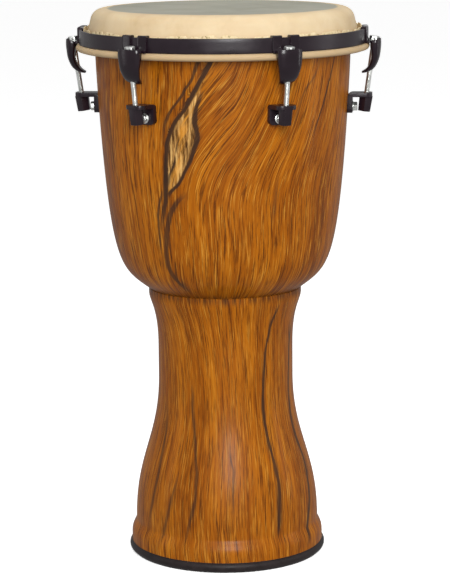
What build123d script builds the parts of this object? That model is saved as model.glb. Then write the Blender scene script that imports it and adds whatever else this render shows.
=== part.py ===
from build123d import *
import os
from math import atan2, cos, degrees, hypot, radians, sin, tan

os.makedirs("parts", exist_ok=True)

# A free-standing hand drum with a waist: a round bowl on a flared stem, a skin pulled down
# over the bowl by a steel hoop, and six tension bolts spaced evenly round it.
# Millimetres and degrees. +Z is up, and the origin is the centre of the foot's bottom face.

# ---- Overall ----
drum_height = 635.0          # floor to playing surface
rim_radius = 146.0           # outside of the bowl at its top
seam_height = 314.0          # floor to the joint between stem and bowl
lug_count = 6
first_lug_angle = -65.6      # from +X towards +Y

# ---- Shell ----
wall = 7.5
seam_radius = 88.4
neck_radius = 78.3
neck_low = 210.0             # the neck is straight between these two heights
neck_high = 245.0
collar_height = 308.0        # the flare under the seam ends here
foot_radius = 112.2          # the bead round the bottom of the stem
ankle_radius = 106.8         # just above that bead
bead_top = 20.0
ankle_height = 38.0
spigot_length = 18.0         # the bowl's spigot goes down into the stem's socket
spigot_wall = 6.5
spigot_radius = 81.0
glue_gap = 0.1
bearing_round = 12.0         # rounding on the outside of the bearing edge
bearing_width = 18.6
bearing_inner_round = 2.0
bearing_depth = 14.0         # depth of the thickened edge below the skin
bearing_slope = 18.0         # height of the slope from the thickened edge to the wall

# Curves of the shell, each a Bezier curve between two ends. A pull is the distance of a
# control point from its end, straight up or down.
bowl_pulls = ((0.703, 0.108), (0.747, 0.058), (1.0, 0.848))    # shares of the way out and up
bead_pulls = (10.5, 5.0)
foot_pulls = (76.0, 76.0)
collar_pulls = (45.0, 11.0)

# ---- Rubber ring round the foot ----
tread_thickness = 4.0
ring_radius = 115.0
ring_height = 12.0
ring_lip = 0.7
ring_inner_lip = 3.0
ring_tread_inset = 3.5

# ---- Skin, flesh hoop and counter hoop ----
skin_thickness = 1.0
shoulder_radius = 14.0
collar_angle = 14.0          # slope of the skin's collar from upright
hoop_gap = 14.5              # bowl's rim to the inside of the counter hoop
hoop_thickness = 3.0
hoop_width = 16.6
hoop_edge_round = 0.7
hoop_top_drop = 23.4         # playing surface to the counter hoop's top edge
flesh_core_radius = 3.0
wrap_width = 9.4
wrap_height = 8.0
wrap_round = 3.6
wrap_gap = 0.05
wrap_inset = 0.7             # counter hoop's outside to the middle of the wrapped hoop
collar_gap = 0.8             # skin's collar to the wrapped hoop, so that the hoop can slide
tail_thickness = 0.9         # trimmed edge of the skin, between collar and counter hoop
tail_rise = 2.2              # above the counter hoop
tail_bend = 9.0              # above the wrapped hoop

# ---- Claws ----
claw_thickness = 2.2
claw_fit = 0.1               # claw to hoop
lip_length = 5.6
claw_inner_round = 0.2       # claw's outer bend is its thickness less this
prong_width = 11.0
prong_gap = 10.0
seat_sink = 0.8              # bolt seat below the claw's inner corner, which clears the hoops
horn_hole_gap = 1.2          # the claw moves straight down and the bolt along its own lean
horn_width = 29.0
horn_side_share = 0.35       # flat part of the horn's side
horn_reach = 8.1             # bolt's axis to the horn's outer edge at the seat
horn_root = 4.3              # bolt's axis to the horn's inner edge at the seat
# Horn below the seat: outer edge (out from the bolt seat, down), inner edge, share of the width
horn_curve = (
    (7.9, 8.4, -4.2, 6.9, 0.98),
    (6.1, 19.4, -2.9, 16.9, 0.88),
    (1.3, 29.4, -4.9, 24.9, 0.73),
    (-5.7, 34.6, -8.4, 30.4, 0.59),
    (-12.6, 36.2, -13.2, 33.8, 0.41),
)

# ---- Tension bolts, M6 with 1 mm pitch ----
rod_tilt = 8.0               # the bolts lean in towards the bottom
rod_radius = 3.0
bolt_length = 74.8           # under the head
head_flats = 10.0
head_height = 4.8
head_chamfer = 0.6
flats_outward = 30.0         # turns a hexagon so that a flat faces out, not a corner
rod_chamfer = 0.8
washer_radius = 6.3
washer_thickness = 1.2
washer_bore_gap = 0.2
nut_thread_gap = 0.05
nut_height = 5.0

# ---- Brackets ----
shelf_drop = 96.8            # playing surface to the top of the bracket's shelf
bracket_thickness = 4.5
bracket_width = 24.0
bracket_height = 22.8
bracket_bend = 7.0
bracket_inner_bend = 2.5
bracket_corner = 5.0
shelf_corner = 8.0
cap_clearance = 0.9          # fixing bolt's head to the cap, which sets how far out the bolts are
shelf_edge = 6.4             # bolt's axis to the end of the shelf
bracket_sink = 1.5           # back of the bracket, before it is cut to the bowl's curve
shelf_hole_gap = 0.4
bracket_back_gap = 0.1

# ---- Caps that hold the nuts under the brackets ----
cap_flats_top = 15.0
cap_flats_bottom = 13.6
cap_length = 16.8
cap_floor = 2.0
cap_round = 1.0
cap_bore_gap = 0.6
nut_pocket_gap = 0.05
seat_gap = 0.05

# ---- Bolts that fix the brackets to the bowl ----
fixing_drop = 15.9           # shelf's top to the fixing bolt
fixing_radius = 3.0
fixing_hole_gap = 0.2
flange_radius = 5.8
flange_thickness = 1.2
fixing_head_height = 4.2
fixing_flats = 9.0
backing_radius = 9.0
backing_thickness = 1.6
spot_face_gap = 0.6
spot_depth = 5.0             # cut from the flat face towards the drum's axis
fixing_end = 2.0             # bolt beyond its nut

# ---- Derived places ----
skin_bottom = drum_height - skin_thickness
bearing_inner_radius = rim_radius - bearing_width
bearing_floor = skin_bottom - bearing_depth
side_top = bearing_floor - bearing_slope        # the bowl's curved side becomes upright here
hoop_inner = rim_radius + hoop_gap
hoop_outer = hoop_inner + hoop_thickness
hoop_top = drum_height - hoop_top_drop
hoop_bottom = hoop_top - hoop_width
wrap_radius = hoop_outer - wrap_inset           # middle of the wrapped hoop's section
wrap_middle = hoop_bottom - wrap_height / 2
collar_radius = wrap_radius - wrap_width / 2 - collar_gap
seat_height = hoop_bottom + claw_thickness - seat_sink
shelf_top = drum_height - shelf_drop
shelf_bottom = shelf_top - bracket_thickness
fixing_height = shelf_top - fixing_drop
lug_angles = [first_lug_angle + number * 360 / lug_count for number in range(lug_count)]


def flare(low, high, pulls):
    """S-shaped curve that is upright at both ends."""
    return Bezier(low, (low[0], low[1] + pulls[0]), (high[0], high[1] - pulls[1]), high)


def bowl_side(grow=0.0):
    """The bowl's outside, from the seam up to where it becomes upright."""
    out = rim_radius - seam_radius
    up = side_top - seam_height
    controls = [(0, 0), *bowl_pulls, (1, 1)]
    return Bezier(*[(seam_radius + grow + x * out, seam_height + y * up) for x, y in controls])


def bowl_radius_at(height):
    """Outside radius of the bowl at a height above the seam."""
    with BuildLine() as side:
        bowl_side()
    level = Edge.make_line((0, height), (2 * rim_radius, height))
    return side.edges()[0].intersect(level).vertices()[0].X


# Where the brackets and their fixing bolts meet the bowl. The tension bolts lean past the
# fixing bolts' heads, and that sets how far out the claws' seats are.
flange_face = bowl_radius_at(shelf_top) + bracket_back_gap + bracket_thickness
spot_face = bowl_radius_at(fixing_height + backing_radius) - wall
fixing_head_face = flange_face + flange_thickness + fixing_head_height
tilt = radians(rod_tilt)
lean = tan(tilt)
cap_axis_radius = fixing_head_face + cap_clearance + cap_flats_top / 2
seat_radius = cap_axis_radius + (seat_height - fixing_height) * lean
shelf_radius = seat_radius - (seat_height - shelf_top) * lean


def inside_of(edge, shares):
    """Points one wall inside an edge that runs up the outside of the bowl."""
    points = []
    for share in shares:
        place = edge.position_at(share)
        way = edge.tangent_at(share)
        points.append((place.X - way.Y * wall, place.Y + way.X * wall))
    return points


def stem_side(inset):
    """The stem's side from its foot to the top of the straight neck, moved in by inset."""
    foot = (foot_radius - inset, tread_thickness)
    bead = (foot_radius - inset, bead_top)
    ankle = (ankle_radius - inset, ankle_height)
    neck = (neck_radius - inset, neck_low)
    Line(foot, bead)
    flare(bead, ankle, bead_pulls)
    flare(ankle, neck, foot_pulls)
    Line(neck, (neck_radius - inset, neck_high))


def rod_plane(below_seat):
    """Plane across a tension bolt on the +X side, with its normal up the bolt."""
    origin = (seat_radius - below_seat * sin(tilt), 0, seat_height - below_seat * cos(tilt))
    return Plane(origin=origin, x_dir=(cos(tilt), 0, -sin(tilt)), z_dir=(sin(tilt), 0, cos(tilt)))


def side_plane(angle):
    """Upright plane through the drum's axis, turned from +X by angle."""
    a = radians(angle)
    return Plane(origin=(0, 0, 0), x_dir=(cos(a), sin(a), 0), z_dir=(sin(a), -cos(a), 0))


def facing_plane(distance, height):
    """Upright plane across +X at this distance from the drum's axis."""
    return Plane(origin=(distance, 0, height), x_dir=(0, 1, 0), z_dir=(1, 0, 0))


def save(part, name):
    part.label = name
    export_step(part, f"parts/{name}.step")


def save_round(part, name):
    """Write one copy of a part that was made on the +X side for each lug."""
    for number, angle in enumerate(lug_angles, 1):
        save(Rotation(0, 0, angle) * part, f"{name}_{number}")



# ---- Stem: the lower moulding of the shell ----
with BuildPart() as stem_shell:
    with BuildSketch(Plane.XZ):
        with BuildLine():
            stem_side(0)
            flare((neck_radius, neck_high), (seam_radius, collar_height), collar_pulls)
            socket_radius = spigot_radius + glue_gap
            socket_floor = seam_height - spigot_length - glue_gap
            throat_radius = spigot_radius - spigot_wall
            Polyline(
                (seam_radius, collar_height),
                (seam_radius, seam_height),
                (socket_radius, seam_height),
                (socket_radius, socket_floor),
                (throat_radius, socket_floor),
                (neck_radius - wall, neck_high),
            )
            stem_side(wall)
            Line((foot_radius - wall, tread_thickness), (foot_radius, tread_thickness))
        make_face()
    revolve(axis=Axis.Z)
save(stem_shell.part, "stem_shell")

# ---- Shape of one fixing hole, with the flat face for its backing washer inside the bowl ----
with BuildPart() as fixing_drill:
    with BuildSketch(facing_plane(spot_face, fixing_height)):
        Circle(backing_radius + spot_face_gap)
    extrude(amount=-spot_depth)
    with BuildSketch(facing_plane(spot_face, fixing_height)):
        Circle(fixing_radius + fixing_hole_gap)
    extrude(amount=2 * wall)

# ---- Bowl: the upper moulding, with a spigot below and a thickened bearing edge above ----
with BuildPart() as bowl_shell:
    with BuildSketch(Plane.XZ):
        with BuildLine():
            outside = bowl_side()
            inside = inside_of(outside, (0.1, 0.25, 0.4, 0.6, 0.8, 1.0))
            crown = rim_radius - bearing_round
            lip = bearing_inner_radius + bearing_inner_round
            Line((rim_radius, side_top), (rim_radius, skin_bottom - bearing_round))
            CenterArc((crown, skin_bottom - bearing_round), bearing_round, 0, 90)
            Line((crown, skin_bottom), (lip, skin_bottom))
            CenterArc((lip, skin_bottom - bearing_inner_round), bearing_inner_round, 90, 90)
            Polyline(
                (bearing_inner_radius, skin_bottom - bearing_inner_round),
                (bearing_inner_radius, bearing_floor),
                inside[-1],
            )
            Spline((throat_radius, seam_height), *inside)
            Polyline(
                (throat_radius, seam_height),
                (throat_radius, seam_height - spigot_length),
                (spigot_radius, seam_height - spigot_length),
                (spigot_radius, seam_height),
                (seam_radius, seam_height),
            )
        make_face()
    revolve(axis=Axis.Z)
    for angle in lug_angles:
        add(fixing_drill.part, rotation=(0, 0, angle), mode=Mode.SUBTRACT)
save(bowl_shell.part, "bowl_shell")

# ---- Rubber ring that the stem's lower edge is pressed into ----
with BuildPart() as base_ring:
    with BuildSketch(Plane.XZ):
        groove_inner = foot_radius - wall - glue_gap
        groove_outer = foot_radius + glue_gap
        inner_radius = groove_inner - ring_inner_lip
        with BuildLine():
            Polyline(
                (ring_radius - ring_tread_inset, 0),
                (inner_radius, 0),
                (inner_radius, ring_height),
                (groove_inner, ring_height),
                (groove_inner, tread_thickness),
                (groove_outer, tread_thickness),
                (groove_outer, ring_height),
                (groove_outer + ring_lip, ring_height),
            )
            ThreePointArc(
                (groove_outer + ring_lip, ring_height),
                (ring_radius, ring_height / 2),
                (ring_radius - ring_tread_inset, 0),
            )
        make_face()
    revolve(axis=Axis.Z)
save(base_ring.part, "base_ring")

# ---- Drumhead: the skin over the bowl, its rounded shoulder and its collar ----
with BuildPart() as drumhead:
    with BuildSketch(Plane.XZ):
        slope = radians(collar_angle)
        wrap_top = wrap_middle + wrap_height / 2
        wrap_bottom = wrap_middle - wrap_height / 2
        shoulder_height = drum_height - shoulder_radius
        tangent_height = shoulder_height + shoulder_radius * sin(slope)
        tangent_radius = collar_radius - (tangent_height - wrap_top) * tan(slope)
        shoulder_centre = tangent_radius - shoulder_radius * cos(slope)
        inner_turn = shoulder_radius - skin_thickness
        inner_tangent = (
            shoulder_centre + inner_turn * cos(slope),
            shoulder_height + inner_turn * sin(slope),
        )
        inner_collar = collar_radius - skin_thickness
        inner_bend = inner_tangent[1] - (inner_collar - inner_tangent[0]) / tan(slope)
        with BuildLine():
            Line((0, drum_height), (shoulder_centre, drum_height))
            shoulder = (shoulder_centre, shoulder_height)
            CenterArc(shoulder, shoulder_radius, collar_angle, 90 - collar_angle)
            Polyline(
                (tangent_radius, tangent_height),
                (collar_radius, wrap_top),
                (collar_radius, wrap_bottom),
                (inner_collar, wrap_bottom),
                (inner_collar, inner_bend),
                inner_tangent,
            )
            CenterArc(shoulder, inner_turn, collar_angle, 90 - collar_angle)
            Polyline((shoulder_centre, skin_bottom), (0, skin_bottom), (0, drum_height))
        make_face()
    revolve(axis=Axis.Z)
save(drumhead.part, "drumhead")

# ---- Flesh hoop: the round steel core that the skin is wrapped on ----
with BuildPart() as flesh_hoop:
    with BuildSketch(Plane.XZ):
        with Locations((wrap_radius, wrap_middle)):
            Circle(flesh_core_radius)
    revolve(axis=Axis.Z)
save(flesh_hoop.part, "flesh_hoop")

# ---- Skin wrapped round the flesh hoop, with its trimmed tail inside the counter hoop ----
with BuildPart() as skin_wrap:
    with BuildSketch(Plane.XZ):
        tail_outer = hoop_inner - claw_fit - claw_thickness - claw_fit
        tail_inner = tail_outer - tail_thickness
        root_inner = wrap_radius - flesh_core_radius - wrap_gap - tail_thickness
        with Locations((wrap_radius, wrap_middle)):
            RectangleRounded(wrap_width, wrap_height, wrap_round)
        with BuildLine():
            Polyline(
                (root_inner, wrap_middle),
                (tail_inner, wrap_top + tail_bend),
                (tail_inner, hoop_top + tail_rise),
                (tail_outer, hoop_top + tail_rise),
                (tail_outer, wrap_top + tail_bend),
                (root_inner + tail_thickness, wrap_middle),
                close=True,
            )
        make_face()
        with Locations((wrap_radius, wrap_middle)):
            Circle(flesh_core_radius + wrap_gap, mode=Mode.SUBTRACT)
    revolve(axis=Axis.Z)
save(skin_wrap.part, "skin_wrap")

# ---- Counter hoop: a flat steel band that presses on the wrapped hoop ----
with BuildPart() as counter_hoop:
    with BuildSketch(Plane.XZ):
        with Locations(((hoop_inner + hoop_outer) / 2, (hoop_top + hoop_bottom) / 2)):
            RectangleRounded(hoop_thickness, hoop_width, hoop_edge_round)
    revolve(axis=Axis.Z)
save(counter_hoop.part, "counter_hoop")


# ---- Claws: two prongs hook over the hoop, and a horn-shaped shield hangs from the bolt seat ----
def prong_outline():
    """Hook over the counter hoop's edge and down its outside to the seat."""
    lip_outer = hoop_inner - claw_fit
    leg_inner = hoop_outer + claw_fit
    hook_floor = hoop_top + claw_fit
    hook_top = hook_floor + claw_thickness
    seat_at_leg = seat_height + (seat_radius - leg_inner) * lean
    return (
        (lip_outer - claw_thickness, hook_floor - lip_length),
        (lip_outer - claw_thickness, hook_top),
        (leg_inner + claw_thickness, hook_top),
        (leg_inner + claw_thickness, seat_at_leg - claw_thickness),
        (leg_inner, seat_at_leg - claw_thickness),
        (leg_inner, hook_floor),
        (lip_outer, hook_floor),
        (lip_outer, hook_floor - lip_length),
    )


def horn_plane(outer, inner):
    """Plane of a section across the horn, with its X axis from the inner edge to the outer."""
    way = Vector(outer[0] - inner[0], 0, outer[1] - inner[1]).normalized()
    middle = ((outer[0] + inner[0]) / 2, 0, (outer[1] + inner[1]) / 2)
    return Plane(origin=middle, x_dir=way, z_dir=(-way.Z, 0, way.X))


with BuildPart() as claw:
    prong_start = degrees(prong_gap / 2 / hoop_outer)
    prong_turn = degrees(prong_width / hoop_outer)
    for start in (prong_start, -prong_start - prong_turn):
        with BuildSketch(side_plane(start)):
            with BuildLine():
                Polyline(*prong_outline(), close=True)
            outline = make_face()
            fillet(outline.vertices().group_by(Axis.Y)[-1], claw_thickness - claw_inner_round)
        revolve(axis=Axis.Z, revolution_arc=prong_turn)
    seat_section = (horn_reach, horn_reach * lean, -horn_root, -horn_root * lean, 1.0)
    for out_high, down_high, out_low, down_low, share in (seat_section, *horn_curve):
        outer = (seat_radius + out_high, seat_height - down_high)
        inner = (seat_radius + out_low, seat_height - down_low)
        depth = hypot(outer[0] - inner[0], outer[1] - inner[1])
        half = share * horn_width / 2
        turn = (horn_side_share - 0.5) * depth
        with BuildSketch(horn_plane(outer, inner)):
            with BuildLine():
                Polyline((turn, half), (-depth / 2, half), (-depth / 2, -half), (turn, -half))
                ThreePointArc((turn, -half), (depth / 2, 0), (turn, half))
            make_face()
    loft()
    with BuildSketch(Plane.XZ):
        seat_inner = hoop_outer + claw_fit
        horn_back = seat_radius - horn_root
        top_inner = seat_height + (seat_radius - seat_inner) * lean
        top_outer = seat_height + (seat_radius - horn_back) * lean
        overlap = claw_thickness
        with BuildLine():
            Polyline(
                (seat_inner, top_inner),
                (horn_back + overlap, top_outer - overlap * lean),
                (horn_back + overlap, top_outer - claw_thickness - overlap * lean),
                (seat_inner, top_inner - claw_thickness),
                close=True,
            )
        make_face()
    extrude(amount=horn_width / 2, both=True)
    with BuildSketch(rod_plane(0)):
        Circle(rod_radius + horn_hole_gap)
    extrude(amount=2 * horn_width, both=True, mode=Mode.SUBTRACT)
save_round(claw.part, "claw")

# ---- Tension bolts: hex head and a rod down to the nut ----
with BuildPart() as tension_bolt:
    with BuildSketch(rod_plane(-washer_thickness)):
        RegularPolygon(head_flats / 2, 6, major_radius=False)
    extrude(amount=head_height)
    chamfer(tension_bolt.faces().sort_by(Axis.Z)[-1].edges(), head_chamfer)
    with BuildSketch(rod_plane(-washer_thickness)):
        Circle(rod_radius)
    extrude(amount=-bolt_length)
    chamfer(tension_bolt.faces().sort_by(Axis.Z)[0].edges(), rod_chamfer)
save_round(tension_bolt.part, "tension_bolt")

with BuildPart() as bolt_washer:
    with BuildSketch(rod_plane(0)):
        Circle(washer_radius)
        Circle(rod_radius + washer_bore_gap, mode=Mode.SUBTRACT)
    extrude(amount=washer_thickness)
save_round(bolt_washer.part, "bolt_washer")

# ---- Brackets: bent steel angles on the bowl, with a shelf that the bolts pull up against ----
with BuildPart() as bracket:
    shelf_end = shelf_radius + shelf_edge
    back = bowl_radius_at(shelf_top - bracket_bend) - bracket_sink
    with BuildSketch(Plane.XZ):
        with BuildLine():
            Polyline(
                (back, shelf_top - bracket_height),
                (flange_face, shelf_top - bracket_height),
                (flange_face, shelf_bottom),
                (shelf_end, shelf_bottom),
                (shelf_end, shelf_top),
                (back, shelf_top),
                close=True,
            )
        outline = make_face()
        fillet(outline.vertices().group_by(Axis.Y)[-1].sort_by(Axis.X)[0], bracket_bend)
        fillet(outline.vertices().group_by(Axis.Y)[1].sort_by(Axis.X)[0], bracket_inner_bend)
    extrude(amount=bracket_width / 2, both=True)
    fillet(bracket.edges().filter_by(Axis.Z).group_by(Axis.X)[-1], shelf_corner)
    fillet(bracket.edges().filter_by(Axis.X).group_by(Axis.Z)[0], bracket_corner)
    with BuildSketch(Plane.XZ):
        with BuildLine():
            bowl_side(bracket_back_gap)
            Polyline(
                (rim_radius + bracket_back_gap, side_top),
                (0, side_top),
                (0, seam_height),
                (seam_radius + bracket_back_gap, seam_height),
            )
        make_face()
    revolve(axis=Axis.Z, mode=Mode.SUBTRACT)
    shelf_distance = (seat_height - shelf_top) / cos(tilt)
    with BuildSketch(rod_plane(shelf_distance)):
        Circle(rod_radius + shelf_hole_gap)
    extrude(amount=2 * bracket_thickness, both=True, mode=Mode.SUBTRACT)
    with BuildSketch(facing_plane(flange_face, fixing_height)):
        Circle(fixing_radius + fixing_hole_gap)
    extrude(amount=-3 * bracket_thickness, mode=Mode.SUBTRACT)
save_round(bracket.part, "bracket")

# ---- Nuts under the shelves, each held in a moulded cap ----
# The bolt leans and the shelf is level, so the nut's highest corner sets how low it sits.
nut_top = (seat_height - shelf_bottom) / cos(tilt) + seat_gap + head_flats / 2 * lean
with BuildPart() as tension_nut:
    with BuildSketch(rod_plane(nut_top)):
        RegularPolygon(head_flats / 2, 6, major_radius=False, rotation=flats_outward)
        Circle(rod_radius + nut_thread_gap, mode=Mode.SUBTRACT)
    extrude(amount=-nut_height)
save_round(tension_nut.part, "tension_nut")

with BuildPart() as nut_cap:
    cap_top = (seat_height - shelf_bottom) / cos(tilt)
    cap_bottom = cap_top + cap_length
    above = cap_flats_top * lean
    with BuildSketch(rod_plane(cap_top - above)):
        RegularPolygon(cap_flats_top / 2, 6, major_radius=False, rotation=flats_outward)
    with BuildSketch(rod_plane(cap_bottom)):
        RegularPolygon(cap_flats_bottom / 2, 6, major_radius=False, rotation=flats_outward)
    loft()
    fillet(nut_cap.edges().group_by(Axis.Z)[0], cap_round)
    with BuildSketch(rod_plane(cap_top - above)):
        pocket = head_flats / 2 + nut_pocket_gap
        RegularPolygon(pocket, 6, major_radius=False, rotation=flats_outward)
    extrude(amount=-(nut_top + nut_height + nut_pocket_gap - cap_top + above), mode=Mode.SUBTRACT)
    with BuildSketch(rod_plane(cap_bottom - cap_floor)):
        Circle(rod_radius + cap_bore_gap)
    extrude(amount=cap_length, mode=Mode.SUBTRACT)
    split(bisect_by=Plane.XY.offset(shelf_bottom), keep=Keep.BOTTOM)
save_round(nut_cap.part, "nut_cap")

# ---- Bolts, backing washers and nuts that fix the brackets to the bowl ----
nut_face = spot_face - backing_thickness
with BuildPart() as fixing_bolt:
    with BuildSketch(facing_plane(flange_face, fixing_height)):
        Circle(flange_radius)
    extrude(amount=flange_thickness)
    with BuildSketch(facing_plane(flange_face + flange_thickness, fixing_height)):
        RegularPolygon(fixing_flats / 2, 6, major_radius=False)
    extrude(amount=fixing_head_height)
    with BuildSketch(facing_plane(flange_face, fixing_height)):
        Circle(fixing_radius)
    extrude(amount=-(flange_face - nut_face + nut_height + fixing_end))

with BuildPart() as backing_washer:
    with BuildSketch(facing_plane(spot_face, fixing_height)):
        Circle(backing_radius)
        Circle(fixing_radius + fixing_hole_gap, mode=Mode.SUBTRACT)
    extrude(amount=-backing_thickness)

with BuildPart() as fixing_nut:
    with BuildSketch(facing_plane(nut_face, fixing_height)):
        RegularPolygon(head_flats / 2, 6, major_radius=False)
        Circle(fixing_radius + nut_thread_gap, mode=Mode.SUBTRACT)
    extrude(amount=-nut_height)


def save_group(part, name):
    """Write all the lugs' copies of a part made on the +X side as one node."""
    with BuildPart() as group:
        for angle in lug_angles:
            add(part, rotation=(0, 0, angle))
    save(group.part, name)


save_group(fixing_bolt.part, "bracket_bolts")
save_group(backing_washer.part, "backing_washers")
save_group(fixing_nut.part, "bracket_nuts")
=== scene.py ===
import bpy
import bmesh
from math import atan2, comb, cos, pi, radians, sin, sqrt, tan
from mathutils import Matrix, Vector


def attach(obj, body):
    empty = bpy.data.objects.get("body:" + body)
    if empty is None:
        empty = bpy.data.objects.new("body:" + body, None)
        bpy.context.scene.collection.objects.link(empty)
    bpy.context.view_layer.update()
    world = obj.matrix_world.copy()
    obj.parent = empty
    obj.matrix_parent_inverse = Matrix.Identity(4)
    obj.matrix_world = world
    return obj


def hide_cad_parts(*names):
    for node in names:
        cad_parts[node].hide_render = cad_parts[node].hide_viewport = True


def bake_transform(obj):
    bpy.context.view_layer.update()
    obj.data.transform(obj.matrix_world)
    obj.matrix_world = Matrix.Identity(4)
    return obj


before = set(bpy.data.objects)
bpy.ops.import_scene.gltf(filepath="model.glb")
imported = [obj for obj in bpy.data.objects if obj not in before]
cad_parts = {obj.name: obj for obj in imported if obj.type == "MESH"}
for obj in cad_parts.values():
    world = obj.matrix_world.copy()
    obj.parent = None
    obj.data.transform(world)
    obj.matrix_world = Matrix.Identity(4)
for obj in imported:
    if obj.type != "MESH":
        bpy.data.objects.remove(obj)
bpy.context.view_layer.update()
scene = bpy.context.scene

# ---------------------------------------------------------------------------
# Camera. A long lens from a little above the drum's head, tipped down so that
# the head shows as a thin oval and the foot as a deeper one.
# ---------------------------------------------------------------------------
camera_data = bpy.data.cameras.new("camera")
camera_data.lens = 142.25
camera_data.sensor_width = 36.0
camera = bpy.data.objects.new("camera", camera_data)
scene.collection.objects.link(camera)
camera.matrix_world = (
    Matrix.Translation((0.0, -2.607, 0.801))
    @ Matrix.Rotation(radians(90 - 10.68), 4, "X")
    @ Matrix.Rotation(radians(-0.52), 4, "Z")
)
scene.camera = camera

# ---------------------------------------------------------------------------
# Studio. A plain white floor that runs out of sight, a white room, and four soft
# boxes: a large one in front, one overhead, and a strip at each side for the edges.
# ---------------------------------------------------------------------------
scene.view_settings.view_transform = "Standard"
world = bpy.data.worlds.new("white_room")
world.use_nodes = True
world.node_tree.nodes["Background"].inputs["Color"].default_value = (1.0, 1.0, 1.0, 1.0)
world.node_tree.nodes["Background"].inputs["Strength"].default_value = 0.44
scene.world = world


def soft_box(name, size, watts, place, aim):
    light = bpy.data.lights.new(name, "AREA")
    light.shape = "RECTANGLE"
    light.size, light.size_y = size
    light.energy = watts
    box = bpy.data.objects.new(name, light)
    scene.collection.objects.link(box)
    way = Vector(aim) - Vector(place)
    box.matrix_world = Matrix.Translation(place) @ way.to_track_quat("-Z", "Y").to_matrix().to_4x4()


soft_box("key", (1.1, 1.6), 88, (0.30, -2.9, 1.5), (0, 0, 0.28))
soft_box("left_strip", (0.3, 2.0), 4, (-2.3, -0.4, 0.9), (0, 0, 0.35))
soft_box("right_strip", (0.4, 2.0), 7, (2.3, -0.1, 0.9), (0, 0, 0.35))
soft_box("overhead", (2.0, 2.0), 18, (0, 0.6, 2.6), (0, 0, 0.3))

floor_mesh = bpy.data.meshes.new("floor")
floor_mesh.from_pydata([(-60, -60, 0), (60, -60, 0), (60, 60, 0), (-60, 60, 0)], [], [(0, 1, 2, 3)])
floor_paint = bpy.data.materials.new("floor_paint")
floor_paint.use_nodes = True
floor_shader = floor_paint.node_tree.nodes["Principled BSDF"]
floor_shader.inputs["Base Color"].default_value = (0.93, 0.93, 0.93, 1)
floor_shader.inputs["Roughness"].default_value = 0.9
floor_shader.inputs["Specular IOR Level"].default_value = 0.1
floor_shader.inputs["Emission Color"].default_value = (1, 1, 1, 1)
floor_shader.inputs["Emission Strength"].default_value = 0.56
floor_mesh.materials.append(floor_paint)
floor = bpy.data.objects.new("floor", floor_mesh)
scene.collection.objects.link(floor)
floor.visible_diffuse = False
floor.visible_glossy = False

# ---------------------------------------------------------------------------
# Shell. Two thick mouldings, a round bowl and a flared stem, joined at a
# spigot. Outside they carry a printed wood-grain film under satin lacquer;
# inside they are bare pressed fibre.
# ---------------------------------------------------------------------------
rim = 0.146
rim_top = 0.634
rim_rounding = 0.012
bearing_inside = 0.1274      # inner radius of the thickened edge under the head
bearing_low = 0.620
seam = 0.314
seam_radius = 0.0884
bowl_side_top = 0.602
wall = 0.0075
throat = 0.0745
spigot = 0.081               # the bowl's spigot goes down into the stem's socket
spigot_low = 0.296
tread = 0.004                # the rubber under the stem
foot, bead_top = 0.1122, 0.020
ankle, ankle_height = 0.1068, 0.038
neck, neck_low, neck_high = 0.0783, 0.210, 0.245
collar_height = 0.308        # the flare under the seam ends here


def arc_of(centre, radius, first, last, steps):
    """Points on an arc between two angles in degrees."""
    turns = [radians(first + (last - first) * s / steps) for s in range(steps + 1)]
    return [(centre[0] + radius * cos(t), centre[1] + radius * sin(t)) for t in turns]


def drawn_curve(points, steps):
    """A smooth curve from the first point to the last, pulled towards those between."""
    out = []
    n = len(points) - 1
    for s in range(steps + 1):
        t = s / steps
        w = [comb(n, i) * (1 - t) ** (n - i) * t**i for i in range(n + 1)]
        out.append((sum(a * p[0] for a, p in zip(w, points)), sum(a * p[1] for a, p in zip(w, points))))
    return out


def upright_flare(low, high, pull_low, pull_high, steps):
    return drawn_curve([low, (low[0], low[1] + pull_low), (high[0], high[1] - pull_high), high], steps)


def bridge(bm, low, high):
    """Faces between two rings of points."""
    for k in range(len(low)):
        j = (k + 1) % len(low)
        bm.faces.new((low[k], low[j], high[j], high[k]))


def finished_mesh(bm, name):
    mesh = bpy.data.meshes.new(name)
    bm.to_mesh(mesh)
    bm.free()
    return mesh


def smooth_shaded(mesh, sharp):
    """Smooth shading, with edges past this many degrees left sharp."""
    mesh.polygons.foreach_set("use_smooth", [True] * len(mesh.polygons))
    mesh.set_sharp_from_angle(angle=radians(sharp))


def linked(mesh, name):
    piece = bpy.data.objects.new(name, mesh)
    scene.collection.objects.link(piece)
    return piece


def turned(name, outline, around=288, sharp=32, closed=True):
    """A solid turned about the drum's axis from its half outline, which runs with the solid on its left."""
    bm = bmesh.new()
    rings = []
    for r, z in outline:
        if r < 1e-6:
            rings.append([bm.verts.new((0, 0, z))])
        else:
            turns = [2 * pi * k / around + pi / 2 for k in range(around)]
            rings.append([bm.verts.new((r * cos(t), r * sin(t), z)) for t in turns])
    pairs = list(zip(rings, rings[1:])) + ([(rings[-1], rings[0])] if closed else [])
    for low, high in pairs:
        if len(low) == 1 and len(high) == 1:
            continue
        if len(low) == 1:
            for k in range(around):
                bm.faces.new((low[0], high[(k + 1) % around], high[k]))
        elif len(high) == 1:
            for k in range(around):
                bm.faces.new((low[k], low[(k + 1) % around], high[0]))
        else:
            bridge(bm, low, high)
    bmesh.ops.recalc_face_normals(bm, faces=bm.faces)
    mesh = finished_mesh(bm, name)
    smooth_shaded(mesh, sharp)
    return linked(mesh, name)


def bowl_outside(steps=64):
    spread, rise = rim - seam_radius, bowl_side_top - seam
    pulls = ((0, 0), (0.703, 0.108), (0.747, 0.058), (1, 0.848), (1, 1))
    return drawn_curve([(seam_radius + spread * a, seam + rise * b) for a, b in pulls], steps)


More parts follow.
